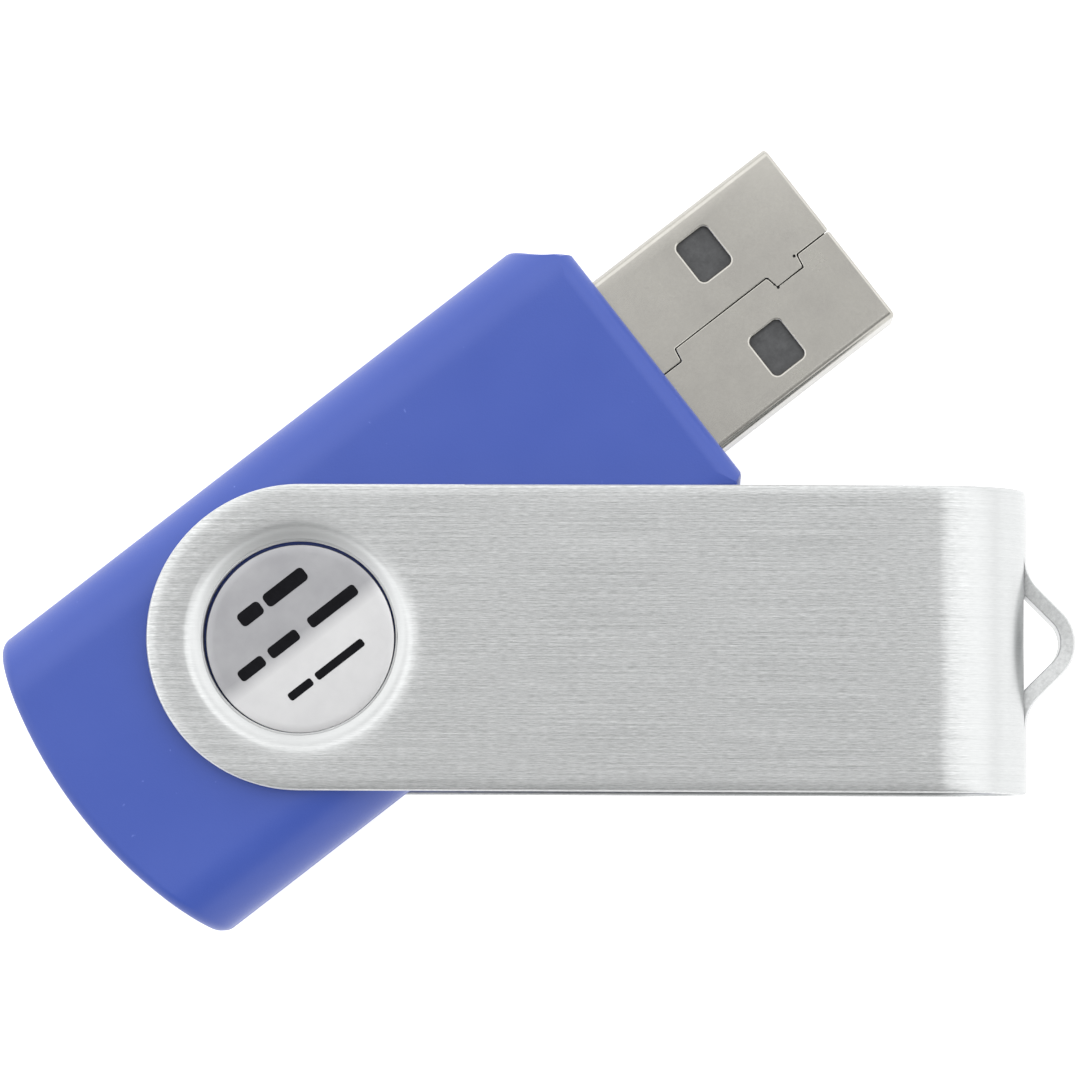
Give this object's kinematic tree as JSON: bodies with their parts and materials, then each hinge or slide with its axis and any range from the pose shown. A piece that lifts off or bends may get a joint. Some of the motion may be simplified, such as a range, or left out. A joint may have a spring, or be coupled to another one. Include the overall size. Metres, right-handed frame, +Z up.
{
  "type": "swivel usb flash drive",
  "caption": "Pocket USB flash drive: a blue plastic body with a type A plug, and a folded brushed aluminium cover with a keyring loop that swivels round it.",
  "frame": {"origin": "centre of the plug's cross-section where it leaves the housing's front face", "axes": "+X along the plug, out of its mouth; +Z out of the upper face, the one with the plug's seam; +Y to the left when looking along +X with +Z up"},
  "size_m": [0.0534, 0.0422, 0.0104],
  "materials": {
    "housing_plastic": "matte",
    "brushed_aluminium": "satin",
    "disc_metal": "satin",
    "adhesive": "matte",
    "plug_plating": "satin",
    "insulator_plastic": "matte",
    "contact_gold": "satin",
    "board_laminate": "satin",
    "chip_epoxy": "matte",
    "print_ink": "satin",
    "tin": "satin",
    "ceramic": "satin"
  },
  "bodies": {
    "housing": {"top_housing": "housing_plastic", "bottom_housing": "housing_plastic", "top_disc": "disc_metal", "bottom_disc": "disc_metal", "top_disc_adhesive": "adhesive", "bottom_disc_adhesive": "adhesive", "plug_shell": "plug_plating", "plug_insulator": "insulator_plastic", "contact_power": "contact_gold", "contact_data_minus": "contact_gold", "contact_data_plus": "contact_gold", "contact_ground": "contact_gold", "circuit_board": "board_laminate", "controller_chip": "chip_epoxy", "controller_leads": "tin", "memory_chip": "chip_epoxy", "memory_leads": "tin", "crystal": "tin", "capacitors": "ceramic", "resistors": "chip_epoxy", "solder_joints": "tin"},
    "cover": {"swivel_cover": "brushed_aluminium"}
  },
  "joints": [
    {"name": "cover_swivel", "type": "hinge", "parent": "housing", "child": "cover", "pos_m": [-0.0252, 0, 0], "axis": [0, 0, 1], "continuous": true}
  ]
}
